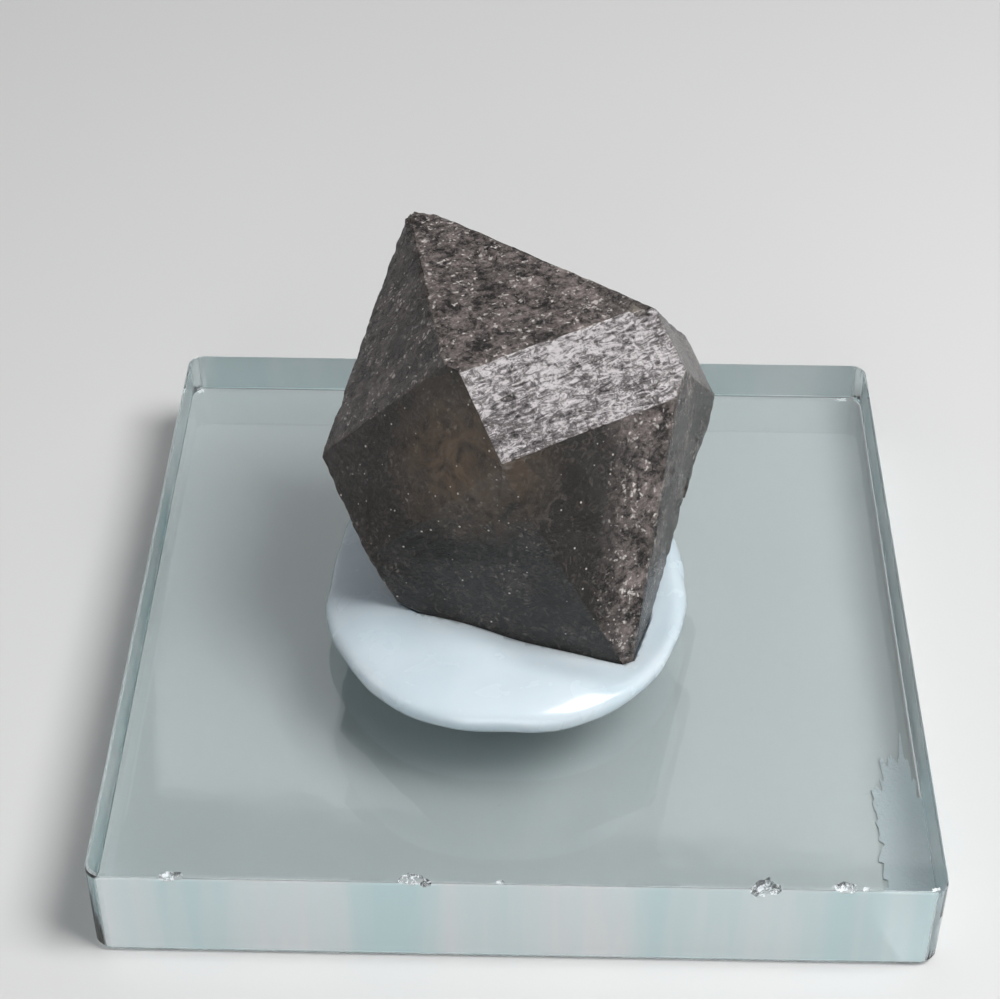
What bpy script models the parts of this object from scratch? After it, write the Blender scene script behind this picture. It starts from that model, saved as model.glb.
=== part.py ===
"""Smoky quartz crystal on a display base.

A stubby, doubly terminated smoky quartz crystal leans in a pad of mineral putty,
and the pad sits in the middle of a square glass block. The crystal grew as one
piece: six prism faces closed at each end by six rhombohedral faces, all at the
fixed angles of quartz. Each face has its own distance from the crystal's centre,
since no two faces of a natural crystal grow at quite the same rate.

Frame: metres, +Z up, origin at the centre of the glass block's underside. The
front of the display faces -Y.
"""

import math

import bmesh
import bpy
from mathutils import Matrix, Vector

MM = 0.001

# Clearance left between pieces that touch.
GAP = 0.3 * MM

# Square block cut from thick float glass.
GLASS_SIDE = 50.0 * MM
GLASS_THICKNESS = 6.7 * MM
GLASS_CORNER_RADIUS = 1.1 * MM
GLASS_TOP_SEAM = 0.25 * MM
GLASS_BOTTOM_SEAM = 0.4 * MM

# Pressed pad of mineral putty, as turned before the crystal is pushed in.
PUTTY_CENTRE_X = -0.9 * MM
PUTTY_CENTRE_Y = -1.9 * MM
PUTTY_RADIUS = 11.4 * MM
PUTTY_FOOT_RADIUS = 10.2 * MM
PUTTY_HEIGHT = 4.0 * MM
PUTTY_DISH_DEPTH = 0.7 * MM
PUTTY_DISH_RADIUS = 8.6 * MM
PUTTY_WIDTH_SCALE = 1.02
PUTTY_DEPTH_SCALE = 1.105
PUTTY_STEPS = 72

# Quartz: angle between the long axis and the normal of a rhombohedral face.
RHOMB_NORMAL_ANGLE = math.radians(51.79)
FACES_ROUND = 6

# Distance of each face from the crystal's centre, going round the long axis.
# The first of each row is the bright prism face at the front, or the face that
# shares its edge.
PRISM_DISTANCES = (10.8, 11.4, 11.0, 10.7, 11.2, 10.9)
UPPER_RHOMB_DISTANCES = (10.2, 10.4, 10.0, 11.4, 10.9, 10.8)
LOWER_RHOMB_DISTANCES = (10.5, 10.1, 10.7, 9.3, 12.8, 10.7)

# How the crystal leans: turned about its own axis, tilted, then swung round.
CRYSTAL_SPIN = math.radians(87.5)
CRYSTAL_TILT = math.radians(55.0)
CRYSTAL_SWING = math.radians(-148.5)
CRYSTAL_CENTRE = (0.1 * MM, 2.4 * MM, 17.6 * MM)


def clear_scene() -> None:
    """Remove every object that is already in the file."""
    for obj in list(bpy.data.objects):
        bpy.data.objects.remove(obj, do_unlink=True)


def make_collection(name: str, helper: bool) -> bpy.types.Collection:
    """Add a collection, hidden from renders when it holds only helpers."""
    collection = bpy.data.collections.new(name)
    collection.hide_render = helper
    bpy.context.scene.collection.children.link(collection)
    return collection


def make_material(
    name: str,
    colour: tuple[float, float, float],
    roughness: float,
    transmission: float,
    ior: float,
) -> bpy.types.Material:
    """Make a plain Principled material."""
    material = bpy.data.materials.new(name)
    material.use_nodes = True
    shader = material.node_tree.nodes["Principled BSDF"]
    shader.inputs["Base Color"].default_value = (*colour, 1.0)
    shader.inputs["Roughness"].default_value = roughness
    shader.inputs["Transmission Weight"].default_value = transmission
    shader.inputs["IOR"].default_value = ior
    material.diffuse_color = (*colour, 1.0)
    return material


def add_object(
    name: str, bm: bmesh.types.BMesh, collection: bpy.types.Collection
) -> bpy.types.Object:
    """Store a bmesh as a named object, with every face turned outward."""
    bmesh.ops.recalc_face_normals(bm, faces=bm.faces[:])
    mesh = bpy.data.meshes.new(name)
    bm.to_mesh(mesh)
    bm.free()
    obj = bpy.data.objects.new(name, mesh)
    collection.objects.link(obj)
    return obj


def crystal_faces(allowance: float) -> list[tuple[Vector, float]]:
    """List the outward normal and the distance of each of the 18 faces.

    The crystal's long axis is local +Z. The allowance moves every face outward.
    """
    faces = []
    rows = (
        (math.pi / 2, PRISM_DISTANCES),
        (RHOMB_NORMAL_ANGLE, UPPER_RHOMB_DISTANCES),
        (math.pi - RHOMB_NORMAL_ANGLE, LOWER_RHOMB_DISTANCES),
    )
    for from_axis, distances in rows:
        for index, distance in enumerate(distances):
            turn = math.tau * index / FACES_ROUND
            normal = Vector(
                (
                    math.sin(from_axis) * math.cos(turn),
                    math.sin(from_axis) * math.sin(turn),
                    math.cos(from_axis),
                )
            )
            faces.append((normal, distance * MM + allowance))
    return faces


def crystal_body(allowance: float) -> bmesh.types.BMesh:
    """Cut the crystal out of a block, one cleaving plane for each face."""
    bm = bmesh.new()
    bmesh.ops.create_cube(bm, size=80 * MM)
    for normal, distance in crystal_faces(allowance):
        bmesh.ops.bisect_plane(
            bm,
            geom=bm.verts[:] + bm.edges[:] + bm.faces[:],
            dist=1e-7,
            plane_co=normal * distance,
            plane_no=normal,
            clear_outer=True,
        )
        rim = [edge for edge in bm.edges if edge.is_boundary]
        if rim:
            bmesh.ops.contextual_create(bm, geom=rim)
    bmesh.ops.remove_doubles(bm, verts=bm.verts[:], dist=0.02 * MM)
    return bm


def stand_crystal(obj: bpy.types.Object) -> None:
    """Lean the crystal as it sits in the putty."""
    turned = (
        Matrix.Rotation(CRYSTAL_SWING, 3, "Z")
        @ Matrix.Rotation(CRYSTAL_TILT, 3, "X")
        @ Matrix.Rotation(CRYSTAL_SPIN, 3, "Z")
    )
    obj.rotation_euler = turned.to_euler("XYZ")
    obj.location = CRYSTAL_CENTRE


def build_crystal(collection: bpy.types.Collection) -> bpy.types.Object:
    """Build the quartz crystal, one natural solid."""
    crystal = add_object("quartz_crystal", crystal_body(0.0), collection)
    stand_crystal(crystal)
    crystal.data.materials.append(
        make_material("smoky_quartz", (0.11, 0.085, 0.065), 0.12, 0.6, 1.544)
    )
    return crystal


def build_seat_cutter(collection: bpy.types.Collection) -> bpy.types.Object:
    """Build the hollow that the crystal presses into the putty."""
    cutter = add_object("cutter_crystal_seat", crystal_body(GAP), collection)
    stand_crystal(cutter)
    cutter.hide_render = True
    cutter.display_type = "WIRE"
    return cutter


def putty_profile() -> list[tuple[float, float]]:
    """Trace half the pad's section from the underside to the top, on the axis.

    The side swells outward under its own weight and rolls over into a rim, and
    the top is dished where the crystal was pushed in.
    """
    points = [(0.0, 0.0), (PUTTY_FOOT_RADIUS, 0.0)]
    side_steps = 14
    swell = PUTTY_RADIUS - PUTTY_FOOT_RADIUS
    rim_radius = PUTTY_RADIUS - 2.1 * MM
    for step in range(1, side_steps + 1):
        turn = math.pi * step / side_steps
        height = PUTTY_HEIGHT * (1 - math.cos(turn)) / 2
        if turn <= math.pi / 2:
            radius = PUTTY_FOOT_RADIUS + swell * math.sin(turn)
        else:
            radius = rim_radius + (PUTTY_RADIUS - rim_radius) * math.sin(turn)
        points.append((radius, height))
    dish_steps = 4
    for step in range(1, dish_steps + 1):
        share = step / dish_steps
        radius = rim_radius + (PUTTY_DISH_RADIUS - 2.0 * MM - rim_radius) * share
        fall = PUTTY_DISH_DEPTH * (1 - math.cos(math.pi * share)) / 2
        points.append((radius, PUTTY_HEIGHT - fall))
    points.append((0.0, PUTTY_HEIGHT - PUTTY_DISH_DEPTH))
    return points


def build_putty(
    collection: bpy.types.Collection, cutter: bpy.types.Object
) -> bpy.types.Object:
    """Turn the pad and press the crystal's seat into it."""
    bm = bmesh.new()
    previous = None
    for radius, height in putty_profile():
        vert = bm.verts.new((radius * PUTTY_WIDTH_SCALE, 0.0, height))
        if previous is not None:
            bm.edges.new((previous, vert))
        previous = vert
    bmesh.ops.spin(
        bm,
        geom=bm.verts[:] + bm.edges[:],
        cent=(0.0, 0.0, 0.0),
        axis=(0.0, 0.0, 1.0),
        angle=math.tau,
        steps=PUTTY_STEPS,
        use_merge=True,
    )
    bmesh.ops.remove_doubles(bm, verts=bm.verts[:], dist=0.002 * MM)
    squash = PUTTY_DEPTH_SCALE / PUTTY_WIDTH_SCALE
    bmesh.ops.scale(bm, vec=(1.0, squash, 1.0), verts=bm.verts[:])
    putty = add_object("putty_pad", bm, collection)
    putty.location = (PUTTY_CENTRE_X, PUTTY_CENTRE_Y, GLASS_THICKNESS + GAP)
    putty.data.materials.append(
        make_material("mineral_putty", (0.72, 0.80, 0.85), 0.30, 0.0, 1.45)
    )
    seat = putty.modifiers.new("crystal_seat", "BOOLEAN")
    seat.operation = "DIFFERENCE"
    seat.solver = "EXACT"
    seat.object = cutter
    return putty


def edges_at_height(bm: bmesh.types.BMesh, height: float) -> list:
    """Find the edges that lie level at one height."""
    return [
        edge
        for edge in bm.edges
        if all(abs(vert.co.z - height) < 0.001 * MM for vert in edge.verts)
    ]


def build_glass(collection: bpy.types.Collection) -> bpy.types.Object:
    """Build the glass block, with dubbed corners and seamed edges."""
    bm = bmesh.new()
    bmesh.ops.create_cube(bm, size=1.0)
    bmesh.ops.scale(
        bm, vec=(GLASS_SIDE, GLASS_SIDE, GLASS_THICKNESS), verts=bm.verts[:]
    )
    bmesh.ops.translate(bm, vec=(0.0, 0.0, GLASS_THICKNESS / 2), verts=bm.verts[:])
    upright = [
        edge
        for edge in bm.edges
        if abs(edge.verts[0].co.z - edge.verts[1].co.z) > GLASS_THICKNESS / 2
    ]
    bmesh.ops.bevel(
        bm,
        geom=upright,
        offset=GLASS_CORNER_RADIUS,
        offset_type="OFFSET",
        segments=6,
        profile=0.5,
        affect="EDGES",
        material=-1,
    )
    for height, seam in ((GLASS_THICKNESS, GLASS_TOP_SEAM), (0.0, GLASS_BOTTOM_SEAM)):
        bmesh.ops.bevel(
            bm,
            geom=edges_at_height(bm, height),
            offset=seam,
            offset_type="OFFSET",
            segments=2,
            profile=0.5,
            affect="EDGES",
            material=-1,
        )
    glass = add_object("glass_base", bm, collection)
    glass.location = (0.0, 0.0, 0.0)
    glass.data.materials.append(
        make_material("float_glass", (0.80, 0.92, 0.90), 0.03, 0.95, 1.52)
    )
    return glass


def main() -> None:
    """Build the display from the base up."""
    clear_scene()
    pieces = make_collection("quartz_crystal_on_base", helper=False)
    cutters = make_collection("cutters", helper=True)
    build_glass(pieces)
    build_putty(pieces, build_seat_cutter(cutters))
    build_crystal(pieces)


main()
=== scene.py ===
"""Looks for a smoky quartz crystal that leans in a pad of putty on a glass block.

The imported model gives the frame: metres, +Z up, the origin under the middle of the
glass block. Each of the three pieces is rebuilt here with its real surface: the
quartz with its growth lines, etch marks, hillocks and chipped edges, the putty with
the soft shape that a thumb leaves, and the glass with its knocked front edge.
"""

import logging
import math
from dataclasses import dataclass, field
from enum import Enum

import bmesh
import bpy
import numpy as np
from mathutils import Matrix, Vector, noise


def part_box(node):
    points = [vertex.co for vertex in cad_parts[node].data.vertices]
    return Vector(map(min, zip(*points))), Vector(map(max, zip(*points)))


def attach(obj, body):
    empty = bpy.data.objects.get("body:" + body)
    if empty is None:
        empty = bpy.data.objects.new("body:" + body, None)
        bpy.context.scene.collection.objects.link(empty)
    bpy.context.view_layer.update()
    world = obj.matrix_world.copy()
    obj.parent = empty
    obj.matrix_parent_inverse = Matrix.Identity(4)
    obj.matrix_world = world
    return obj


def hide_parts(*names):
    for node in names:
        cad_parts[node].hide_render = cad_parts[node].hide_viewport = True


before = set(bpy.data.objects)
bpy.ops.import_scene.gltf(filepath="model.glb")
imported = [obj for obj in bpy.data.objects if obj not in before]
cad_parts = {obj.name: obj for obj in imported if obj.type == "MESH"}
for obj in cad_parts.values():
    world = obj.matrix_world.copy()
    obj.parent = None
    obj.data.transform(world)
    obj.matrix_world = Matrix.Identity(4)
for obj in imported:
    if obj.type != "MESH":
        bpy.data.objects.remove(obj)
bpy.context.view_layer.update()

Triple = tuple[float, float, float]
Socket = bpy.types.NodeSocket

LOG = logging.getLogger("quartz_display")
MM = 0.001
BODY = "root"
MERGE_WITHIN = 0.002 * MM
FLAT_WITHIN = math.radians(0.5)
SCATTER = Vector((12.9898, 78.233, 37.719))
SCATTER_SIZE = 437.58
PLATEAU_SHARPNESS = 4.0


class FaceKind(Enum):
    """The kinds of crystal face, by how they grew."""

    PRISM = "prism"
    UPPER = "upper rhombohedral"
    LOWER = "lower rhombohedral"


def smoothstep(value: np.ndarray) -> np.ndarray:
    """Ease each value from 0 to 1, holding it there outside that range."""
    held = np.clip(value, 0.0, 1.0)
    return held * held * (3.0 - 2.0 * held)


def noise_at(points: np.ndarray, seed: float) -> np.ndarray:
    """Sample smooth noise, from about -1 to 1, at each point.

    Args:
        points: One row of three coordinates for each sample.
        seed: Moves the samples to another part of the noise.

    Returns:
        One value for each row.
    """
    shift = Vector((seed, -1.7 * seed, 0.6 * seed))
    return np.array([noise.noise(Vector(row) + shift) for row in points.tolist()])


def cell_steps(points: np.ndarray, seed: float, lean: float) -> np.ndarray:
    """Sample a mosaic of tilted plateaus, each with its own height.

    Args:
        points: One row of three coordinates for each sample, in cell widths.
        seed: Moves the samples to another part of the mosaic.
        lean: How much of each plateau's height comes from its tilt.

    Returns:
        Heights from about -1 to 1, one for each row.
    """
    heights = np.empty(len(points))
    for index, row in enumerate(points.tolist()):
        place = Vector(row) + Vector((seed, seed * 0.3, -seed))
        gaps, centres = noise.voronoi(place)
        centre = centres[0]
        pick = math.sin(centre.dot(SCATTER)) * SCATTER_SIZE
        level = 2.0 * (pick - math.floor(pick)) - 1.0
        slope = Vector((level, 1 - abs(level), -level))
        heights[index] = level * (1 - lean) + lean * (place - centre).dot(slope)
        heights[index] *= min(1.0, (gaps[1] - gaps[0]) * PLATEAU_SHARPNESS)
    return heights


def new_object(name: str, bm: bmesh.types.BMesh) -> bpy.types.Object:
    """Store a bmesh as a named object in the scene, at the origin.

    Args:
        name: The object's name.
        bm: The shape, which is freed.

    Returns:
        The object.
    """
    mesh = bpy.data.meshes.new(name)
    bm.to_mesh(mesh)
    bm.free()
    obj = bpy.data.objects.new(name, mesh)
    bpy.context.scene.collection.objects.link(obj)
    return obj


def node_solid(node: str) -> bmesh.types.BMesh:
    """Copy a CAD node as one closed solid with whole flat faces.

    Args:
        node: The node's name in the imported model.

    Returns:
        A new bmesh, merged and with its flat faces made whole.
    """
    bm = bmesh.new()
    bm.from_mesh(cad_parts[node].data)
    bmesh.ops.remove_doubles(bm, verts=bm.verts[:], dist=MERGE_WITHIN)
    bmesh.ops.dissolve_limit(
        bm, angle_limit=FLAT_WITHIN, verts=bm.verts[:], edges=bm.edges[:]
    )
    return bm


def mesh_points(mesh: bpy.types.Mesh) -> np.ndarray:
    """Read a mesh's points.

    Args:
        mesh: The mesh.

    Returns:
        The points, one row each.
    """
    flat = np.empty(len(mesh.vertices) * 3)
    mesh.vertices.foreach_get("co", flat)
    return flat.reshape(-1, 3)


def set_mesh_points(mesh: bpy.types.Mesh, points: np.ndarray) -> None:
    """Write a mesh's points back from rows."""
    mesh.vertices.foreach_set("co", points.reshape(-1))
    mesh.update()


def add_measure(mesh: bpy.types.Mesh, name: str, values: np.ndarray) -> None:
    """Store one number for each point, for the finish to read."""
    layer = mesh.attributes.new(name, "FLOAT", "POINT")
    layer.data.foreach_set("value", values.astype(np.float32))


def shade_smooth(obj: bpy.types.Object) -> None:
    """Shade every face smooth.

    Args:
        obj: The object to shade.
    """
    flags = np.ones(len(obj.data.polygons), bool)
    obj.data.polygons.foreach_set("use_smooth", flags)
    obj.data.update()


class Bench:
    """One material on the bench, with short names for the nodes it is made of."""

    def __init__(self, name: str) -> None:
        """Start a material with its Principled shader.

        Args:
            name: The material's name.
        """
        self.material = bpy.data.materials.new(name)
        self.material.use_nodes = True
        self.tree = self.material.node_tree
        self.shader = self.tree.nodes["Principled BSDF"]
        self.output = self.tree.nodes["Material Output"]

    def set(self, **values: object) -> None:
        """Set the shader's own sockets, with underscores for spaces."""
        for key, value in values.items():
            self.shader.inputs[key.replace("_", " ")].default_value = value

    def link(self, source: Socket, socket: str) -> None:
        """Join a source to one of the shader's sockets."""
        self.tree.links.new(source, self.shader.inputs[socket])

    def feed(self, socket: Socket, value: object) -> None:
        """Fill a socket.

        Args:
            socket: The socket to fill.
            value: Another socket to join to it, or a plain value.
        """
        if isinstance(value, Socket):
            self.tree.links.new(value, socket)
        else:
            socket.default_value = value

    def node(self, kind: str, **inputs: object) -> bpy.types.Node:
        """Add a node and fill its sockets.

        Args:
            kind: The node's type, after "ShaderNode".
            **inputs: What each named socket gets, with underscores for spaces.

        Returns:
            The node.
        """
        node = self.tree.nodes.new("ShaderNode" + kind)
        for name, value in inputs.items():
            self.feed(node.inputs[name.replace("_", " ")], value)
        return node

    def place(
        self,
        turn: Matrix | None = None,
        centre: Triple = (0.0, 0.0, 0.0),
        stretch: Triple = (1.0, 1.0, 1.0),
    ) -> Socket:
        """Give object coordinates in millimetres, turned to the piece's own axes.

        Args:
            turn: Turns the piece's own axes to the object's, or None for no turn.
            centre: The point that becomes zero, in millimetres.
            stretch: How much each of the piece's own axes is scaled after that.

        Returns:
            The vector socket.
        """
        back = Matrix.Identity(3) if turn is None else turn.transposed()
        own = self.node(
            "Mapping",
            Vector=self.node("TexCoord").outputs["Object"],
            Scale=(1 / MM, 1 / MM, 1 / MM),
            Rotation=back.to_euler("XYZ"),
            Location=-(back @ Vector(centre)),
        ).outputs["Vector"]
        if stretch == (1.0, 1.0, 1.0):
            return own
        return self.node("Mapping", Vector=own, Scale=stretch).outputs["Vector"]

    def noise(
        self,
        vector: Socket,
        scale: float,
        detail: float = 3.0,
        roughness: float = 0.55,
        distortion: float = 0.0,
    ) -> Socket:
        """Add noise.

        Args:
            vector: Where it is read.
            scale: Its cycles for each unit of the vector.
            detail: How many finer layers it holds.
            roughness: How strong the finer layers are.
            distortion: How far it is swirled.

        Returns:
            The noise, from 0 to 1.
        """
        return self.node(
            "TexNoise",
            Vector=vector,
            Scale=scale,
            Detail=detail,
            Roughness=roughness,
            Distortion=distortion,
        ).outputs["Fac"]

    def cells(self, vector: Socket, scale: float, output: str = "Distance") -> Socket:
        """Add a cell pattern and give its distance or its cell colour."""
        return self.node("TexVoronoi", Vector=vector, Scale=scale).outputs[output]

    def warp(self, vector: Socket, scale: float, amount: float) -> Socket:
        """Push a vector about with noise, so that round shapes turn ragged.

        Args:
            vector: The vector to push.
            scale: The noise's cycles for each unit of the vector.
            amount: The farthest push.

        Returns:
            The pushed vector.
        """
        noisy = self.node("TexNoise", Vector=vector, Scale=scale, Detail=3.0)
        push = self.node("VectorMath")
        push.operation = "MULTIPLY_ADD"
        for index, value in enumerate((noisy.outputs["Color"], (amount,) * 3, vector)):
            self.feed(push.inputs[index], value)
        return push.outputs[0]

    def measure(self, name: str) -> Socket:
        """Read a number that the mesh stores for each point.

        Args:
            name: The name it is stored under.

        Returns:
            The number.
        """
        node = self.node("Attribute")
        node.attribute_name = name
        return node.outputs["Fac"]

    def math(self, operation: str, first: object, second: object = 0.0) -> Socket:
        """Work out one simple step.

        Args:
            operation: Blender's name for the step.
            first: The first value.
            second: The second value, where the step takes one.

        Returns:
            The outcome.
        """
        node = self.node("Math")
        node.operation = operation
        self.feed(node.inputs[0], first)
        self.feed(node.inputs[1], second)
        return node.outputs[0]

    def plus(self, first: object, second: object) -> Socket:
        """Add two values."""
        return self.math("ADD", first, second)

    def minus(self, first: object, second: object) -> Socket:
        """Take the second value from the first."""
        return self.math("SUBTRACT", first, second)

    def times(self, first: object, second: object) -> Socket:
        """Multiply two values."""
        return self.math("MULTIPLY", first, second)

    def span(
        self,
        value: Socket,
        low: float,
        high: float,
        to_low: float = 0.0,
        to_high: float = 1.0,
    ) -> Socket:
        """Map a range of values onto another range, held at both ends.

        Args:
            value: The value to map.
            low: The value that becomes to_low.
            high: The value that becomes to_high.
            to_low: One end of the new range.
            to_high: The other end of the new range.

        Returns:
            The mapped value.
        """
        node = self.node(
            "MapRange",
            Value=value,
            From_Min=low,
            From_Max=high,
            To_Min=to_low,
            To_Max=to_high,
        )
        node.clamp = True
        return node.outputs["Result"]

    def mix(self, share: object, first: object, second: object) -> Socket:
        """Mix two colours.

        Args:
            share: How much of the second colour there is, from 0 to 1.
            first: The first colour.
            second: The second colour.

        Returns:
            The mixed colour.
        """
        node = self.node("Mix")
        node.data_type = "RGBA"
        self.feed(node.inputs[0], share)
        for socket, value in ((node.inputs[6], first), (node.inputs[7], second)):
            if not isinstance(value, Socket):
                value = (*value, 1.0)
            self.feed(socket, value)
        return node.outputs[2]

    def bump(
        self,
        height: Socket,
        depth: float,
        under: Socket | None = None,
    ) -> Socket:
        """Raise fine relief.

        Args:
            height: The relief, from 0 to 1.
            depth: How deep it is, in metres.
            under: The normal of any relief under it.

        Returns:
            The normal.
        """
        node = self.node("Bump", Strength=1.0, Distance=depth, Height=height)
        if under is not None:
            self.feed(node.inputs["Normal"], under)
        return node.outputs["Normal"]

    def distance(self, vector: Socket, point: Triple) -> Socket:
        """Measure how far a vector is from a point.

        Args:
            vector: The vector.
            point: The point, in the vector's units.

        Returns:
            The distance.
        """
        node = self.node("VectorMath")
        node.operation = "DISTANCE"
        self.feed(node.inputs[0], vector)
        self.feed(node.inputs[1], point)
        return node.outputs["Value"]

    def tint_inside(self, colour: Triple, density: float) -> None:
        """Fill the body with a colour that deepens with thickness."""
        volume = self.node("VolumeAbsorption", Color=(*colour, 1.0), Density=density)
        self.tree.links.new(volume.outputs["Volume"], self.output.inputs["Volume"])


@dataclass(frozen=True)
class CrystalLean:
    """How the crystal stands: its own axes and its centre, as in the solid model."""

    swing: float = math.radians(-148.5)
    tilt: float = math.radians(55.0)
    spin: float = math.radians(87.5)
    centre: Triple = (0.1, 2.4, 17.6)

    def turn(self) -> Matrix:
        """Work out how the crystal is turned.

        Returns:
            The matrix from the crystal's own axes to the frame's.
        """
        return (
            Matrix.Rotation(self.swing, 3, "Z")
            @ Matrix.Rotation(self.tilt, 3, "X")
            @ Matrix.Rotation(self.spin, 3, "Z")
        )

    def to_own(self, points: np.ndarray) -> np.ndarray:
        """Turn points in metres to the crystal's own axes, in millimetres."""
        turn = np.array(self.turn())
        return (points / MM - np.array(self.centre)) @ turn

    def to_frame(self, points: np.ndarray) -> np.ndarray:
        """Turn points on the crystal's own axes back to the frame, in metres."""
        turn = np.array(self.turn())
        return (points @ turn.T + np.array(self.centre)) * MM


@dataclass(frozen=True)
class SmokyQuartzFinish:
    """Smoky quartz: dark brown inside with a painted warm glow low at the front, etched
    and speckled on the outside, with painted sheen and painted glints.
    """

    lean: CrystalLean
    inside: Triple = (0.60, 0.40, 0.25)
    inside_density: float = 420.0
    body: Triple = (0.016, 0.013, 0.011)
    body_grey: Triple = (0.036, 0.034, 0.032)
    # The colour of the painted glow, which grows near glow_point within glow_reach.
    painted_glow_colour: Triple = (0.160, 0.112, 0.074)
    frost_dark: Triple = (0.012, 0.010, 0.009)
    frost_pale: Triple = (0.360, 0.300, 0.285)
    # Pale specks: partly powder, partly painted glints of tiny facets catching light.
    speck_and_glint_colour: Triple = (0.66, 0.61, 0.58)
    # The bright face has dark gaps, a pale tone that is partly its etched dashes and
    # partly painted sheen, and painted glints.
    gleam_low: Triple = (0.045, 0.040, 0.040)
    etch_and_sheen_colour: Triple = (0.42, 0.385, 0.39)
    painted_glint_colour: Triple = (1.0, 0.94, 0.96)
    chip: Triple = (0.58, 0.52, 0.44)
    wisp: Triple = (0.15, 0.13, 0.115)
    glow_point: Triple = (7.6, -7.0, -1.6)
    glow_reach: float = 6.0
    squeeze: float = 3.4

    def make(self) -> bpy.types.Material:
        """Make the material.

        Returns:
            The material.
        """
        bench = Bench("smoky_quartz")
        turn, centre = self.lean.turn(), self.lean.centre
        own = bench.place(turn, centre)
        along = bench.place(turn, centre, (1.0, 1.0, self.squeeze))
        frost = bench.measure("frost")
        gleam = bench.measure("gleam")
        chipped = bench.measure("chipped")

        colour = self.inner_colour(bench, own)
        mottle = bench.noise(own, 0.62, 5.0, 0.66, 0.5)
        grain = bench.noise(along, 0.80, 7.0, 0.80, 0.8)
        crumb = bench.noise(own, 1.9, 8.0, 0.82, 0.5)
        both = bench.plus(bench.times(mottle, 0.6), crumb)
        both = bench.plus(both, bench.times(grain, 0.45))
        both = bench.span(both, 0.93, 1.27)
        frosted = bench.mix(both, self.frost_dark, self.frost_pale)
        colour = bench.mix(bench.span(frost, 0.10, 0.62), colour, frosted)

        # The bright face's colour is partly its real pale etched dashes and partly
        # painted sheen and painted glints where the key light reflects.
        dashes = bench.noise(along, 0.85, 7.0, 0.80, 1.3)
        cross = bench.noise(own, 1.5, 7.0, 0.82, 1.2)
        broad = bench.noise(own, 0.30, 2.0, 0.5)
        struck = bench.plus(bench.times(cross, 0.7), dashes)
        struck = bench.plus(struck, bench.times(broad, 0.24))
        sheen = bench.span(struck, 0.82, 1.00)
        etch_and_sheen = bench.mix(sheen, self.gleam_low, self.etch_and_sheen_colour)
        glints = bench.span(struck, 0.97, 1.05)
        etch_and_sheen = bench.mix(glints, etch_and_sheen, self.painted_glint_colour)
        colour = bench.mix(gleam, colour, etch_and_sheen)

        # Pale specks: partly real frosted powder, partly painted glints of tiny facets
        # catching light.
        specks_and_glints = self.specks_and_glints(bench, own, frost)
        colour = bench.mix(specks_and_glints, colour, self.speck_and_glint_colour)
        colour = bench.mix(chipped, colour, self.chip)
        bench.link(colour, "Base Color")

        rough = bench.span(frost, 0.0, 0.8, 0.11, 0.40)
        rough = bench.plus(rough, bench.span(grain, 0.35, 0.65, 0.07, -0.07))
        rough = bench.plus(rough, bench.times(specks_and_glints, 0.15))
        rough = bench.plus(rough, bench.times(chipped, 0.15))
        bench.link(rough, "Roughness")

        clear = bench.span(frost, 0.0, 0.6, 0.30, 0.05)
        for cover, share in ((gleam, 0.3), (specks_and_glints, 1.0), (chipped, 1.0)):
            clear = bench.minus(clear, bench.times(cover, share))
        bench.link(bench.span(clear, 0.0, 1.0), "Transmission Weight")

        bench.link(self.relief(bench, own, along, frost, gleam), "Normal")
        bench.set(IOR=1.544, Specular_IOR_Level=0.28)
        bench.tint_inside(self.inside, self.inside_density)
        return bench.material

    def inner_colour(self, bench: Bench, own: Socket) -> Socket:
        """Cloud the clear body with the smoke and veils that lie under its skin, and
        paint a warm glow near the lower front where light would shine in.

        Args:
            bench: The material being made.
            own: The crystal's own coordinates, in millimetres.

        Returns:
            The colour socket.
        """
        smoke = bench.noise(own, 0.16, 4.0, 0.55, 1.4)
        veils = bench.noise(own, 0.42, 6.0, 0.62, 1.8)
        colour = bench.mix(bench.span(smoke, 0.42, 0.66), self.body, self.body_grey)
        # Painted glow: the colour warms towards one point low at the front, as if light
        # shone into the body there.
        near = bench.span(bench.distance(own, self.glow_point), self.glow_reach, 0.8)
        painted_glow_share = bench.times(near, bench.span(veils, 0.34, 0.60, 0.15, 1.0))
        colour = bench.mix(painted_glow_share, colour, self.painted_glow_colour)
        wisps = bench.span(bench.noise(own, 1.1, 6.0, 0.74, 2.6), 0.50, 0.70, 0.0, 0.55)
        return bench.mix(wisps, colour, self.wisp)

    def specks_and_glints(self, bench: Bench, own: Socket, frost: Socket) -> Socket:
        """Scatter pale grains, thicker where the face is frosted; they are partly real
        frosted powder and partly painted glints of tiny facets.

        Args:
            bench: The material being made.
            own: The crystal's own coordinates, in millimetres.
            frost: How frosted the face is.

        Returns:
            The share of the pale speck and painted glint colour at each point.
        """
        torn = bench.warp(own, 2.2, 0.9)
        ragged = bench.times(bench.noise(own, 6.0, 5.0, 0.80), 0.55)
        gaps = bench.plus(bench.cells(torn, 2.9), ragged)
        big = bench.span(bench.cells(torn, 2.9, "Color"), 0.35, 0.9, -0.10, 0.30)
        grains_and_glints = bench.span(bench.minus(gaps, big), 0.56, 0.30)
        patches = bench.span(bench.noise(own, 0.6, 5.0, 0.75), 0.43, 0.56)
        share = bench.span(frost, 0.08, 0.6)
        thick = bench.times(bench.times(grains_and_glints, patches), share)
        size = bench.span(bench.cells(own, 2.3, "Color"), 0.50, 0.85, 0.0, 0.20)
        dust = bench.minus(size, bench.cells(own, 2.3))
        fine = bench.times(bench.span(dust, 0.0, 0.10), 0.7)
        return bench.math("MINIMUM", bench.plus(thick, fine), 1.0)

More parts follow.
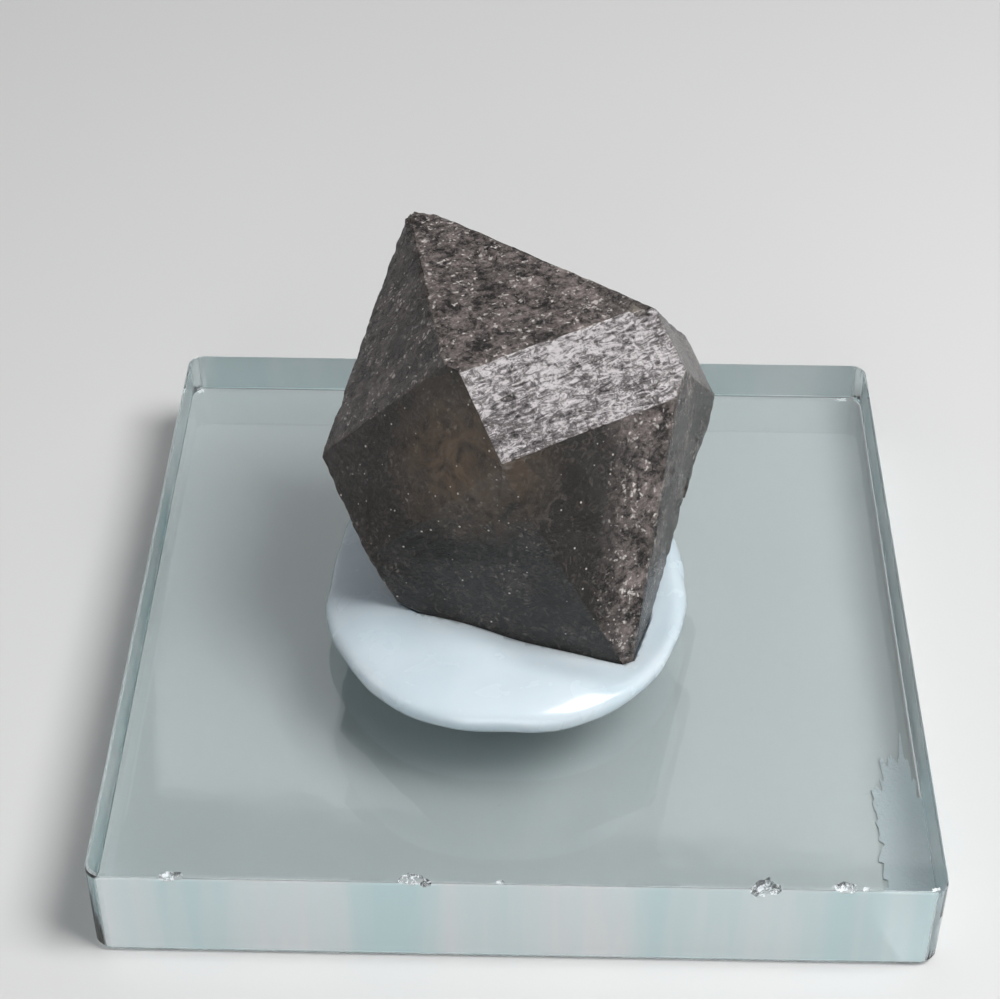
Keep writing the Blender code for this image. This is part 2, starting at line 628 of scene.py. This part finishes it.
    def relief(
        self,
        bench: Bench,
        own: Socket,
        along: Socket,
        frost: Socket,
        gleam: Socket,
    ) -> Socket:
        """Lay growth lines, etch dashes and grain over the modelled surface.

        Args:
            bench: The material being made.
            own: The crystal's own coordinates, in millimetres.
            along: The same, squeezed along the crystal's length.
            frost: How frosted the face is.
            gleam: How strongly the face is etched with dashes.

        Returns:
            The normal socket.
        """
        lines = bench.noise(along, 0.85, 7.0, 0.80, 1.3)
        lined = bench.times(lines, bench.span(gleam, 0.0, 1.0, 0.08, 1.0))
        first = bench.bump(lined, 0.55 * MM)
        grain = bench.noise(own, 3.4, 5.0, 0.70, 0.4)
        gritty = bench.times(grain, bench.span(frost, 0.0, 0.8, 0.06, 1.0))
        second = bench.bump(gritty, 0.24 * MM, first)
        pits = bench.span(bench.cells(own, 4.5), 0.02, 0.26)
        pitted = bench.times(pits, bench.span(frost, 0.0, 0.8, 0.1, 1.0))
        return bench.bump(pitted, 0.03 * MM, second)


@dataclass(frozen=True)
class MineralPuttyFinish:
    """Mineral putty: pale sky blue, waxy, and a little light shines into it."""

    colour: Triple = (0.57, 0.67, 0.73)
    milky: Triple = (0.63, 0.71, 0.76)

    def make(self) -> bpy.types.Material:
        """Make the material.

        Returns:
            The material.
        """
        bench = Bench("mineral_putty")
        own = bench.place()
        marbling = bench.noise(own, 0.14, 2.0, 0.45, 0.8)
        colour = bench.mix(bench.span(marbling, 0.3, 0.7), self.colour, self.milky)
        bench.link(colour, "Base Color")
        smears = bench.noise(own, 0.5, 3.0, 0.5, 0.4)
        bench.link(bench.span(smears, 0.3, 0.7, 0.20, 0.30), "Roughness")
        soft = bench.bump(bench.noise(own, 0.45, 2.0, 0.4), 0.06 * MM)
        bench.link(bench.bump(bench.noise(own, 9.0, 2.0), 0.003 * MM, soft), "Normal")
        bench.set(
            IOR=1.46,
            Subsurface_Weight=0.45,
            Subsurface_Radius=(1.0, 1.15, 1.3),
            Subsurface_Scale=1.8 * MM,
            Coat_Weight=0.5,
            Coat_Roughness=0.12,
        )
        return bench.material


@dataclass(frozen=True)
class FloatGlassFinish:
    """Thick float glass: clear through the face, sea green through the edge."""

    tint: Triple = (0.55, 0.88, 0.92)
    density: float = 11.0
    edge: Triple = (0.70, 0.90, 0.92)
    edge_pale: Triple = (0.97, 0.99, 1.0)
    milk: float = 0.62
    clear: Triple = (0.96, 0.99, 0.99)
    nicked: Triple = (0.85, 0.88, 0.88)
    ground_from: float = 24.88
    ground_full: float = 24.98

    def make(self) -> bpy.types.Material:
        """Make the material.

        Returns:
            The material.
        """
        bench = Bench("float_glass")
        own = bench.place()
        smears = bench.noise(own, 0.10, 3.0, 0.5, 1.0)
        rough = bench.span(smears, 0.35, 0.70, 0.015, 0.05)
        pits = bench.span(bench.cells(own, 0.75), 0.05, 0.025)
        chosen = bench.span(bench.noise(own, 0.35, 2.0), 0.52, 0.56)
        nicks = bench.times(pits, chosen)

        ground = self.ground(bench, own)
        streaks = bench.place(stretch=(1.0, 1.0, 0.05))
        blocks = bench.span(bench.noise(streaks, 0.17, 3.0, 0.55), 0.38, 0.62)
        edge = bench.mix(blocks, self.edge, self.edge_pale)

        rough = bench.plus(rough, bench.times(nicks, 0.5))
        rough = bench.plus(rough, bench.times(ground, 0.34))
        bench.link(rough, "Roughness")
        colour = bench.mix(nicks, self.clear, self.nicked)
        bench.link(bench.mix(ground, colour, edge), "Base Color")
        clear = bench.minus(1.0, bench.times(ground, self.milk))
        clear = bench.minus(clear, bench.times(nicks, 0.6))
        bench.link(bench.span(clear, 0.0, 1.0), "Transmission Weight")
        ripple = bench.bump(bench.noise(own, 0.12, 2.0), 0.02 * MM)
        bench.link(bench.bump(nicks, -0.02 * MM, ripple), "Normal")
        bench.set(IOR=1.52)
        bench.tint_inside(self.tint, self.density)
        return bench.material

    def ground(self, bench: Bench, own: Socket) -> Socket:
        """Mark the four sides, which are ground and only half polished.

        Args:
            bench: The material being made.
            own: The block's own coordinates, in millimetres.

        Returns:
            The share of the ground finish at each point.
        """
        parts = bench.node("SeparateXYZ", Vector=own)
        across = bench.math("ABSOLUTE", parts.outputs["X"])
        deep = bench.math("ABSOLUTE", parts.outputs["Y"])
        out = bench.math("MAXIMUM", across, deep)
        return bench.span(out, self.ground_from, self.ground_full)


@dataclass(frozen=True)
class BrokenGlassFinish:
    """Freshly broken glass: clear and rippled, with crushed white patches.

    Args:
        name: The material's name.
        crushed: How much of it is crushed white, from 0 to 1.
    """

    name: str
    crushed: float
    clear: Triple = (0.94, 0.98, 0.99)
    white: Triple = (0.90, 0.94, 0.97)

    def make(self) -> bpy.types.Material:
        """Make the material.

        Returns:
            The material.
        """
        bench = Bench(self.name)
        own = bench.place()
        crush = bench.noise(own, 2.6, 5.0, 0.7, 0.6)
        edge = 0.72 - 0.5 * self.crushed
        white = bench.span(crush, edge - 0.06, edge + 0.06)
        bench.link(bench.mix(white, self.clear, self.white), "Base Color")
        bench.link(bench.span(white, 0.0, 1.0, 0.08, 0.55), "Roughness")
        bench.link(bench.span(white, 0.0, 1.0, 0.95, 0.08), "Transmission Weight")
        bench.link(bench.bump(bench.noise(own, 4.0, 4.0, 0.7), 0.10 * MM), "Normal")
        bench.set(IOR=1.52)
        return bench.material


@dataclass(frozen=True)
class FloorFinish:
    """A plain pale studio floor."""

    colour: Triple = (0.66, 0.658, 0.655)

    def make(self) -> bpy.types.Material:
        """Make the material.

        Returns:
            The material.
        """
        bench = Bench("studio_floor")
        own = bench.place()
        cloud = bench.noise(own, 0.01, 2.0)
        bench.link(bench.mix(cloud, (0.64, 0.638, 0.635), self.colour), "Base Color")
        bench.set(Roughness=0.7)
        return bench.material


@dataclass(frozen=True)
class Scoop:
    """A shell-shaped chip, where something knocked a curved flake out."""

    centre: Triple
    radius: float
    fresh: float = 1.0


@dataclass
class QuartzCrystal:
    """The crystal: its faces are refined and given the surface they grew with."""

    lean: CrystalLean = field(default_factory=CrystalLean)
    node: str = "quartz_crystal"
    first_edge: float = 1.6 * MM
    splits: int = 5
    wear_reach: float = 0.26
    fade_reach: float = 0.45
    side_swell: float = 0.24
    swell_from: float = 9.0
    swell_over: float = 3.5
    prism_limit: float = 0.2
    smooth_below: float = 0.15
    smooth_side: Triple = (0.7, -0.7, -0.4)
    rim_width: float = 0.22
    chip_unevenness: float = 0.45
    chip_ripple: float = 0.05
    chip_ripples: float = 14.0
    chip_deepest: float = 0.45
    chip_fade: float = 0.6
    frost_by_prism: tuple[float, ...] = (0.25, 0.30, 0.4, 0.5, 0.4, 0.12)
    frost_by_upper: tuple[float, ...] = (0.72, 0.32, 0.5, 0.5, 0.5, 0.31)
    frost_by_lower: tuple[float, ...] = (0.72, 0.38, 0.4, 0.4, 0.4, 0.13)
    gleam_by_prism: tuple[float, ...] = (1.0, 0.0, 0.1, 0.05, 0.1, 0.0)
    chips: tuple[Scoop, ...] = (
        Scoop((0.46, 13.05, -1.2), 0.85),
        Scoop((-0.79, 8.15, -7.95), 0.70),
        Scoop((-0.13, 8.70, -6.95), 0.60),
        Scoop((10.75, 6.15, 3.0), 0.80, 0.2),
        Scoop((4.4, 0.6, 11.0), 0.85, 0.0),
        Scoop((10.9, -6.0, -3.2), 0.45, 0.12),
        Scoop((10.9, -4.9, -3.3), 0.35, 0.12),
        Scoop((-0.1, -0.8, 16.9), 0.55, 0.6),
    )

    def build(self) -> bpy.types.Object:
        """Build the crystal's surface and dress it.

        Returns:
            The finished piece.
        """
        bm = node_solid(self.node)
        normals, levels = self.face_planes(bm)
        self.refine(bm)
        crystal = new_object("smoky_quartz_crystal", bm)
        self.shape(crystal.data, normals, levels)
        shade_smooth(crystal)
        crystal.data.materials.append(SmokyQuartzFinish(self.lean).make())
        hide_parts(self.node)
        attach(crystal, BODY)
        return crystal

    def face_planes(self, bm: bmesh.types.BMesh) -> tuple[np.ndarray, np.ndarray]:
        """Read the crystal's faces as planes on its own axes.

        Args:
            bm: The crystal as whole flat faces.

        Returns:
            The outward normals, and how far each plane lies from the centre.
        """
        turn = np.array(self.lean.turn())
        normals = []
        levels = []
        for face in bm.faces:
            normal = np.array(face.normal) @ turn
            middle = self.lean.to_own(np.array([face.calc_center_median()]))[0]
            if normals and max(np.array(normals) @ normal) > 0.999:
                continue
            normals.append(normal)
            levels.append(float(middle @ normal))
        return np.array(normals), np.array(levels)

    def refine(self, bm: bmesh.types.BMesh) -> None:
        """Split every face into small triangles of about one size.

        Args:
            bm: The crystal as whole flat faces.
        """
        bmesh.ops.triangulate(bm, faces=bm.faces[:])
        while True:
            bm.edges.index_update()
            rank = {
                edge: (round(edge.calc_length(), 9), edge.index) for edge in bm.edges
            }
            longest = {face: max(face.edges, key=rank.get) for face in bm.faces}
            chosen = [
                edge
                for edge in bm.edges
                if edge.calc_length() > self.first_edge
                and all(longest[face] == edge for face in edge.link_faces)
            ]
            if not chosen:
                break
            bmesh.ops.subdivide_edges(bm, edges=chosen, cuts=1, use_single_edge=True)
        bmesh.ops.subdivide_edges(
            bm, edges=bm.edges[:], cuts=self.splits, use_grid_fill=True
        )

    def kind_of(self, normal: np.ndarray) -> tuple[FaceKind, int]:
        """Tell which crystal face a normal belongs to.

        Args:
            normal: An outward normal on the crystal's own axes.

        Returns:
            The kind of face, and its place in the row of six round the axis.
        """
        turn = math.degrees(math.atan2(normal[1], normal[0]))
        index = int(round(turn / 60.0)) % 6
        if abs(normal[2]) < self.prism_limit:
            return FaceKind.PRISM, index
        return (FaceKind.UPPER if normal[2] > 0 else FaceKind.LOWER), index

    def frost_of(self, normal: np.ndarray) -> float:
        """Tell how frosted a face is.

        Args:
            normal: The face's outward normal on the crystal's own axes.

        Returns:
            The frost, from 0 to 1.
        """
        kind, index = self.kind_of(normal)
        rows = {
            FaceKind.PRISM: self.frost_by_prism,
            FaceKind.UPPER: self.frost_by_upper,
            FaceKind.LOWER: self.frost_by_lower,
        }
        return rows[kind][index]

    def gleam_of(self, normal: np.ndarray) -> float:
        """Tell how dashed a face is and how much painted sheen it gets, from 0 to 1."""
        kind, index = self.kind_of(normal)
        return self.gleam_by_prism[index] if kind is FaceKind.PRISM else 0.0

    def shape(
        self, mesh: bpy.types.Mesh, normals: np.ndarray, levels: np.ndarray
    ) -> None:
        """Move the points to the grown, etched and worn surface.

        Args:
            mesh: The refined crystal.
            normals: The face planes' outward normals.
            levels: How far each plane lies from the centre.
        """
        own = self.lean.to_own(mesh_points(mesh))
        depth = levels - own @ normals.T
        order = np.argsort(depth, axis=1)
        nearest, second = order[:, 0], order[:, 1]
        rows = np.arange(len(own))
        from_edge = depth[rows, second] - depth[rows, nearest]
        inner = smoothstep(from_edge / self.fade_reach)

        frost_levels = np.array([self.frost_of(normal) for normal in normals])
        gleam_levels = np.array([self.gleam_of(normal) for normal in normals])
        is_prism = np.abs(normals[:, 2]) < self.prism_limit
        frost = frost_levels[nearest]
        gleam = gleam_levels[nearest]
        prism = is_prism[nearest]

        height = self.growth(own, frost, gleam, prism)
        raised = own + normals[nearest] * (height * inner)[:, None]
        smooth = np.maximum(frost, frost_levels[second]) < self.smooth_below
        smooth &= (normals[nearest] @ self.smooth_side) > 0
        outward = normals[nearest] + normals[second]
        raised = self.wear(raised, own, from_edge, outward, smooth)
        raised, chipped = self.knock(raised)

        right, _, up = np.array(self.lean.turn())
        clear_of_putty = smoothstep((own @ up + 4.5) / 3.0)
        swell = smoothstep((own[:, 1] - self.swell_from) / self.swell_over)
        swell *= clear_of_putty
        raised = raised + right * (self.side_swell * swell)[:, None]
        patch = np.clip(0.5 + 0.9 * noise_at(own * 0.35, 4.0), 0, 1)
        frost = frost * (0.6 + 0.8 * patch)
        low_front = (normals[nearest][:, 2] < -0.2) & (normals[nearest][:, 0] > 0.5)
        grown = 0.10 + 0.90 * smoothstep((own[:, 1] - 0.35 * own[:, 2] - 1.2) / 4.5)
        frost = np.clip(np.where(low_front, frost * grown, frost), 0, 1)
        # The rim term makes the colour paler along the edges, more where the face is
        # frosted.
        rim = np.clip(1 - from_edge / self.rim_width, 0, 1)
        rim *= np.clip(noise_at(own * 0.8, 9.0) + 0.25, 0, 1)
        add_measure(mesh, "frost", frost)
        add_measure(mesh, "gleam", gleam * (1 - chipped))
        add_measure(mesh, "chipped", np.clip(chipped + 0.3 * rim * frost, 0, 1))
        set_mesh_points(mesh, self.lean.to_frame(raised))

    def growth(
        self,
        own: np.ndarray,
        frost: np.ndarray,
        gleam: np.ndarray,
        prism: np.ndarray,
    ) -> np.ndarray:
        """Work out the relief the faces grew and were etched with.

        Args:
            own: Points on the crystal's own axes, in millimetres.
            frost: How frosted the face is at each point.
            gleam: How dashed the face is at each point.
            prism: Whether each point is on a prism face.

        Returns:
            The height over the flat face at each point, in millimetres.
        """
        swell = 0.035 * noise_at(own * 0.28, 1.0)
        lines = noise_at(own * np.array((0.35, 0.35, 2.4)), 2.0)
        dashes = np.clip(noise_at(own * np.array((1.0, 1.0, 4.2)), 3.0), 0, 1)
        steps = cell_steps(own * 1.15, 5.0, 0.5)
        small = cell_steps(own * 2.3, 7.0, 0.4)
        prism_height = 0.030 * lines * (0.3 + gleam) - 0.075 * dashes * gleam
        prism_height += 0.035 * steps * np.clip(frost - 0.25, 0, 1)
        rhomb_height = (0.055 * steps + 0.030 * small) * frost + 0.012 * lines
        return swell + np.where(prism, prism_height, rhomb_height) - 0.03

    def wear(
        self,
        points: np.ndarray,
        own: np.ndarray,
        from_edge: np.ndarray,
        outward: np.ndarray,
        smooth: np.ndarray,
    ) -> np.ndarray:
        """Round the edges, more in some stretches than in others.

        Args:
            points: The points so far.
            own: Where the points were on the flat faces.
            from_edge: How far each point is from the nearest edge.
            outward: The direction away from the crystal at that edge.
            smooth: Whether the edge lies between two smooth faces.

        Returns:
            The worn points.
        """
        away = outward / np.linalg.norm(outward, axis=1, keepdims=True)
        rough = 0.5 + 0.7 * noise_at(own * 0.8, 6.0) + 0.5 * noise_at(own * 2.4, 6.5)
        rough = np.clip(rough, 0, 1.5)
        reach = np.where(smooth, 1.3, self.wear_reach)
        depth = np.where(smooth, 0.15, 0.03 + 0.12 * rough**2)
        amount = depth * np.exp(-((from_edge / reach) ** 2))
        return points - away * amount[:, None]

    def knock(self, points: np.ndarray) -> tuple[np.ndarray, np.ndarray]:
        """Take shell-shaped chips out of the edges.

        Args:
            points: The points so far, on the crystal's own axes.

        Returns:
            The points with the chips taken out, and how fresh each one's break is.
        """
        fresh = np.zeros(len(points))
        moved = points.copy()
        uneven = 1.0 + self.chip_unevenness * noise_at(points * 1.6, 21.0)
        for scoop in self.chips:
            centre = np.array(scoop.centre)
            offset = moved - centre
            reach = np.linalg.norm(offset, axis=1) * uneven
            inside = reach < scoop.radius
            if not inside.any():
                LOG.info("chip at %s touches nothing", scoop.centre)
                continue
            share = reach[inside] / scoop.radius
            ripple = 1 + self.chip_ripple * np.sin(share * self.chip_ripples)
            inward = -centre / np.linalg.norm(centre)
            slide = np.sqrt(np.clip(scoop.radius**2 - reach[inside] ** 2, 0, None))
            slide = np.minimum(slide * ripple, scoop.radius * self.chip_deepest)
            moved[inside] += inward * slide[:, None]
            faded = smoothstep((1 - share) / self.chip_fade)
            fresh[inside] = np.maximum(fresh[inside], scoop.fresh * faded)
        return moved, fresh


@dataclass
class MineralPutty:
    """The putty: a soft pad pressed flat, with a rim pushed up round the crystal."""

    lean: CrystalLean = field(default_factory=CrystalLean)
    node: str = "putty_pad"
    around: int = 224
    up: int = 96
    roundness: float = 0.62
    lip_width: float = 3.4
    dish_depth: float = 1.05
    foot_softness: float = 0.8
    foot: tuple[tuple[float, float], ...] = (
        *((-6.7, -3.2), (-1.4, -7.7), (6.5, -9.5), (7.0, -9.2)),
        *((8.1, -5.8), (5.5, 8.5), (3.6, 10.1), (-7.9, 3.5)),
    )
    front_lip: float = 0.45
    squareness: float = 0.86
    dip_ease: float = 0.6
    level_left_of: float = -8.0
    level_over: float = 9.0
    crown_power: float = 0.9
    seat_growth: float = 1.005
    foot_gap: float = 0.02

    def build(self) -> bpy.types.Object:
        """Build the pad, press the crystal's seat into it and dress it.

        Returns:
            The finished piece.
        """
        low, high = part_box(self.node)
        top_of_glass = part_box("glass_base")[1].z
        middle = (low + high) / 2
        reach = (high - low) / 2
        bm = bmesh.new()
        bmesh.ops.create_uvsphere(
            bm, u_segments=self.around, v_segments=self.up, radius=1.0
        )
        putty = new_object("mineral_putty_pad", bm)
        points = mesh_points(putty.data)
        floor = (top_of_glass + self.foot_gap * MM) / MM
        shaped = self.pad(points, middle / MM, reach / MM, floor)
        set_mesh_points(putty.data, shaped * MM)
        self.press(putty)
        shade_smooth(putty)
        putty.data.materials.append(MineralPuttyFinish().make())
        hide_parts(self.node)
        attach(putty, BODY)
        return putty

    def pad(
        self, ball: np.ndarray, middle: Vector, reach: Vector, floor: float
    ) -> np.ndarray:
        """Squash a ball into the pressed pad.

        Args:
            ball: The points of a ball of radius 1.
            middle: The middle of the pad, in millimetres.
            reach: Half of the pad's size along each axis, in millimetres.
            floor: The height of the surface it sticks to, in millimetres.

        Returns:
            The pad's points, in millimetres.
        """
        flat = np.hypot(ball[:, 0], ball[:, 1])
        turn = np.arctan2(ball[:, 1], ball[:, 0])
        rise = ball[:, 2]
        across = np.clip(flat, 0, 1) ** self.roundness
        box = (
            np.abs(np.cos(turn)) ** (2 / self.squareness)
            + np.abs(np.sin(turn)) ** (2 / self.squareness)
        ) ** (-self.squareness / 2)
        x = middle[0] + reach[0] * across * box * np.cos(turn)
        y = middle[1] + reach[1] * across * box * np.sin(turn)
        half = (middle[2] + reach[2] - floor) / 2
        z = floor + half * (1 + np.sign(rise) * np.abs(rise) ** self.crown_power)
        dip = smoothstep((self.lip_width - self.past_foot(x, y)) / self.lip_width)
        dip *= self.dish_depth * smoothstep(rise / self.dip_ease)
        z = z - dip * smoothstep((x - self.level_left_of) / self.level_over)
        y = y - self.front_lip * smoothstep((-np.sin(turn) - 0.1) / 0.8) * across
        points = np.column_stack((x, y, z))
        bulge = 0.28 * noise_at(points * np.array((0.16, 0.16, 0.1)), 11.0)
        bulge += 0.10 * noise_at(points * 0.42, 12.0)
        side = np.column_stack((np.cos(turn), np.sin(turn), np.zeros(len(turn))))
        edge = smoothstep((flat - 0.2) / 0.6)
        points += side * ((bulge - 0.22) * edge)[:, None]
        crown = smoothstep((rise - 0.1) / 0.5)
        points[:, 2] += crown * (0.25 * noise_at(points * 0.22, 13.0) - 0.12)
        points[:, 2] = np.maximum(points[:, 2], floor)
        return points

    def past_foot(self, x: np.ndarray, y: np.ndarray) -> np.ndarray:
        """Measure how far points lie outside the crystal's foot.

        Args:
            x: The points' places across, in millimetres.
            y: The points' places from front to back, in millimetres.

        Returns:
            The distance past the nearest side, below zero inside the foot.
        """
        sides = []
        for start, end in zip(self.foot, (*self.foot[1:], self.foot[0])):
            along = np.array(end) - np.array(start)
            out = np.array((along[1], -along[0])) / np.hypot(*along)
            sides.append((x - start[0]) * out[0] + (y - start[1]) * out[1])
        soft = self.foot_softness
        nearest = np.max(sides, axis=0)
        return nearest + soft * np.log(np.sum(np.exp((sides - nearest) / soft), axis=0))

    def press(self, putty: bpy.types.Object) -> None:
        """Press the crystal's seat into the pad.

        Args:
            putty: The pad before the crystal is pushed in.
        """
        bm = node_solid("quartz_crystal")
        centre = Vector(self.lean.centre) * MM
        bmesh.ops.translate(bm, vec=-centre, verts=bm.verts[:])
        bmesh.ops.scale(bm, vec=(self.seat_growth,) * 3, verts=bm.verts[:])
        bmesh.ops.translate(bm, vec=centre, verts=bm.verts[:])
        seat = new_object("seat_cutter", bm)
        cut = putty.modifiers.new("seat", "BOOLEAN")
        cut.operation = "DIFFERENCE"
        cut.solver = "EXACT"
        cut.object = seat
        apply_modifiers(putty)
        bpy.data.objects.remove(seat, do_unlink=True)
        if len(putty.data.polygons) < self.around:
            raise ValueError("the seat cut left no pad")


def apply_modifiers(obj: bpy.types.Object) -> None:
    """Make an object's modifiers part of its mesh.

    Args:
        obj: The object, which keeps no modifiers.
    """
    bpy.context.view_layer.update()
    graph = bpy.context.evaluated_depsgraph_get()
    mesh = bpy.data.meshes.new_from_object(obj.evaluated_get(graph))
    mesh.name = obj.name
    obj.modifiers.clear()
    obj.data = mesh


@dataclass(frozen=True)
class Flake:
    """One flake knocked off the block: where, how big, and how it is turned."""

    place: Triple
    size: Triple
    spin: float
    seed: float
    tip: float = 0.0


@dataclass
class GlassBlock:
    """The glass block, with the flakes that its front edge has lost."""

    node: str = "glass_base"
    flakes: tuple[Flake, ...] = (
        Flake((-19.9, -25.15, 6.80), (0.85, 0.70, 0.40), 0.2, 1.0),
        Flake((-18.6, -25.10, 6.84), (0.60, 0.30, 0.22), -0.2, 1.5),
        Flake((-5.9, -25.20, 6.85), (0.90, 1.00, 0.42), 0.1, 2.0),
        Flake((-5.2, -25.05, 6.80), (0.45, 0.35, 0.50), 0.5, 2.5),
        Flake((-0.7, -25.10, 6.85), (0.85, 0.42, 0.28), -0.1, 3.0),
        Flake((14.0, -25.10, 6.75), (0.50, 1.15, 0.85), -0.7, 4.0, 0.3),
        Flake((14.8, -25.15, 6.80), (0.60, 0.60, 0.60), 0.4, 4.5),
        Flake((19.0, -25.20, 6.85), (0.95, 0.85, 0.42), -0.3, 5.0),
        Flake((20.0, -25.10, 6.85), (0.60, 0.40, 0.30), 0.3, 5.5),
    )
    sliver_place: tuple[float, float] = (23.75, -17.9)
    sliver_reach: tuple[float, float] = (1.75, 6.9)
    sliver_depth: float = 0.16
    sliver_rags: tuple[Triple, ...] = (
        (0.30, 2.6, 21.0),
        (0.26, 7.0, 22.0),
        (0.12, 19.0, 23.0),
    )
    broken_share: float = 0.36
    crushed_share: float = 1.0

    def build(self) -> bpy.types.Object:
        """Build the block, knock its flakes off and dress it.

        Returns:
            The finished piece.
        """
        glass = new_object("glass_block", node_solid(self.node))
        glass.data.materials.append(FloatGlassFinish().make())
        broken = BrokenGlassFinish("broken_glass", self.broken_share).make()
        cutters = [self.flake_cutter(flake) for flake in self.flakes]
        for cutter in cutters:
            cutter.data.materials.append(broken)
        sliver = self.sliver_cutter()
        crushed = BrokenGlassFinish("crushed_glass", self.crushed_share).make()
        sliver.data.materials.append(crushed)
        for cutter in (*cutters, sliver):
            cut = glass.modifiers.new("flake", "BOOLEAN")
            cut.operation = "DIFFERENCE"
            cut.solver = "EXACT"
            cut.material_mode = "TRANSFER"
            cut.object = cutter
        apply_modifiers(glass)
        for cutter in (*cutters, sliver):
            bpy.data.objects.remove(cutter, do_unlink=True)
        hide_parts(self.node)
        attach(glass, BODY)
        return glass

    def sliver_cutter(self) -> bpy.types.Object:
        """Shape the thin ragged sliver lost from under the right-hand edge.

        Returns:
            The cutter.
        """
        bm = bmesh.new()
        bmesh.ops.create_circle(bm, cap_ends=True, segments=220, radius=1.0)
        bmesh.ops.translate(bm, vec=(0, 0, -1), verts=bm.verts[:])
        raised = bmesh.ops.extrude_face_region(bm, geom=bm.faces[:])["geom"]
        top = [part for part in raised if isinstance(part, bmesh.types.BMVert)]
        bmesh.ops.translate(bm, vec=(0, 0, 2), verts=top)
        bmesh.ops.recalc_face_normals(bm, faces=bm.faces[:])
        cutter = new_object("sliver_cutter", bm)
        ring = mesh_points(cutter.data)
        flat = np.column_stack((ring[:, :2], np.zeros(len(ring))))
        ragged = np.ones(len(ring))
        for amount, scale, seed in self.sliver_rags:
            ragged += amount * noise_at(flat * scale, seed)
        side = np.where(ring[:, 0] > 0, 0.75, 1.0)
        x = self.sliver_place[0] + self.sliver_reach[0] * ring[:, 0] * ragged * side
        y = self.sliver_place[1] + self.sliver_reach[1] * ring[:, 1] * ragged
        z = np.where(ring[:, 2] > 0, self.sliver_depth, -1.0)
        set_mesh_points(cutter.data, np.column_stack((x, y, z)) * MM)
        return cutter

    def flake_cutter(self, flake: Flake) -> bpy.types.Object:
        """Shape the hollow that one flake leaves, rippled like a shell.

        Args:
            flake: The flake to shape.

        Returns:
            The cutter.
        """
        bm = bmesh.new()
        bmesh.ops.create_icosphere(bm, subdivisions=4, radius=1.0)
        cutter = new_object("flake_cutter", bm)
        ball = mesh_points(cutter.data)
        ripple = 1 + 0.05 * np.sin(9.0 * ball[:, 0] + flake.seed)
        ripple += 0.16 * noise_at(ball * 1.8, flake.seed)
        ball = ball * ripple[:, None] * np.array(flake.size)
        turn = Matrix.Rotation(flake.spin, 3, "Z") @ Matrix.Rotation(flake.tip, 3, "X")
        points = ball @ np.array(turn).T + np.array(flake.place)
        set_mesh_points(cutter.data, points * MM)
        return cutter


@dataclass(frozen=True)
class Softbox:
    """One soft studio light, aimed at the crystal."""

    name: str
    direction: Triple
    distance: float
    size: float
    power: float

    def hang(self, aim: Vector) -> None:
        """Hang the light.

        Args:
            aim: The point it is turned to.
        """
        data = bpy.data.lights.new(self.name, "AREA")
        data.shape = "SQUARE"
        data.size = self.size
        data.energy = self.power
        light = bpy.data.objects.new(self.name, data)
        toward = Vector(self.direction).normalized()
        light.location = aim + toward * self.distance
        light.rotation_euler = toward.to_track_quat("Z", "Y").to_euler()
        bpy.context.scene.collection.objects.link(light)


@dataclass
class Studio:
    """The floor, the lights and the camera."""

    aim: Triple = (0.0, 0.0, 0.014)
    lights: tuple[Softbox, ...] = (
        Softbox("key_softbox", (0.478, -0.178, 0.859), 0.34, 0.16, 1.25),
        Softbox("left_softbox", (-0.9, -0.25, 0.55), 0.6, 0.4, 0.35),
        Softbox("back_softbox", (0.1, 0.9, 0.6), 0.7, 0.4, 0.5),
        Softbox("front_softbox", (-0.1, -1.0, 0.25), 0.6, 0.35, 0.9),
    )
    world: Triple = (0.55, 0.56, 0.58)
    world_strength: float = 0.27
    camera_place: Triple = (0.81, -110.86, 108.97)
    camera_azimuth: float = math.radians(1.161)
    camera_elevation: float = math.radians(40.464)
    camera_roll: float = math.radians(0.141)
    lens: float = 82.594
    floor_side: float = 3.0
    floor_drop: float = 0.05 * MM

    def set_up(self) -> None:
        """Lay the floor, hang the lights and stand the camera."""
        self.lay_floor()
        for light in self.lights:
            light.hang(Vector(self.aim))
        world = bpy.data.worlds.new("studio_world")
        world.use_nodes = True
        background = world.node_tree.nodes["Background"]
        background.inputs["Color"].default_value = (*self.world, 1.0)
        background.inputs["Strength"].default_value = self.world_strength
        bpy.context.scene.world = world
        bpy.context.scene.view_settings.view_transform = "Standard"
        self.stand_camera()

    def lay_floor(self) -> None:
        """Lay the plain pale floor just under the block."""
        bm = bmesh.new()
        bmesh.ops.create_grid(bm, x_segments=1, y_segments=1, size=self.floor_side / 2)
        drop = (0, 0, -self.floor_drop)
        bmesh.ops.translate(bm, vec=drop, verts=bm.verts[:])
        floor = new_object("studio_floor", bm)
        floor.data.materials.append(FloorFinish().make())

    def stand_camera(self) -> None:
        """Stand the camera in front, looking down at the crystal."""
        data = bpy.data.cameras.new("camera")
        data.sensor_width = 36.0
        data.lens = self.lens
        data.clip_start = 0.005
        camera = bpy.data.objects.new("camera", data)
        turn = (
            Matrix.Rotation(self.camera_azimuth, 3, "Z")
            @ Matrix.Rotation(math.pi / 2 - self.camera_elevation, 3, "X")
            @ Matrix.Rotation(self.camera_roll, 3, "Z")
        )
        camera.rotation_euler = turn.to_euler("XYZ")
        camera.location = Vector(self.camera_place) * MM
        bpy.context.scene.collection.objects.link(camera)
        bpy.context.scene.camera = camera


def main() -> None:
    """Build the pieces from the base up, then the studio round them."""
    logging.basicConfig(level=logging.INFO, format="%(name)s: %(message)s")
    Studio().set_up()
    for part in (GlassBlock(), MineralPutty(), QuartzCrystal()):
        piece = part.build()
        LOG.info("%s: %d faces", piece.name, len(piece.data.polygons))


if __name__ == "__main__":
    main()
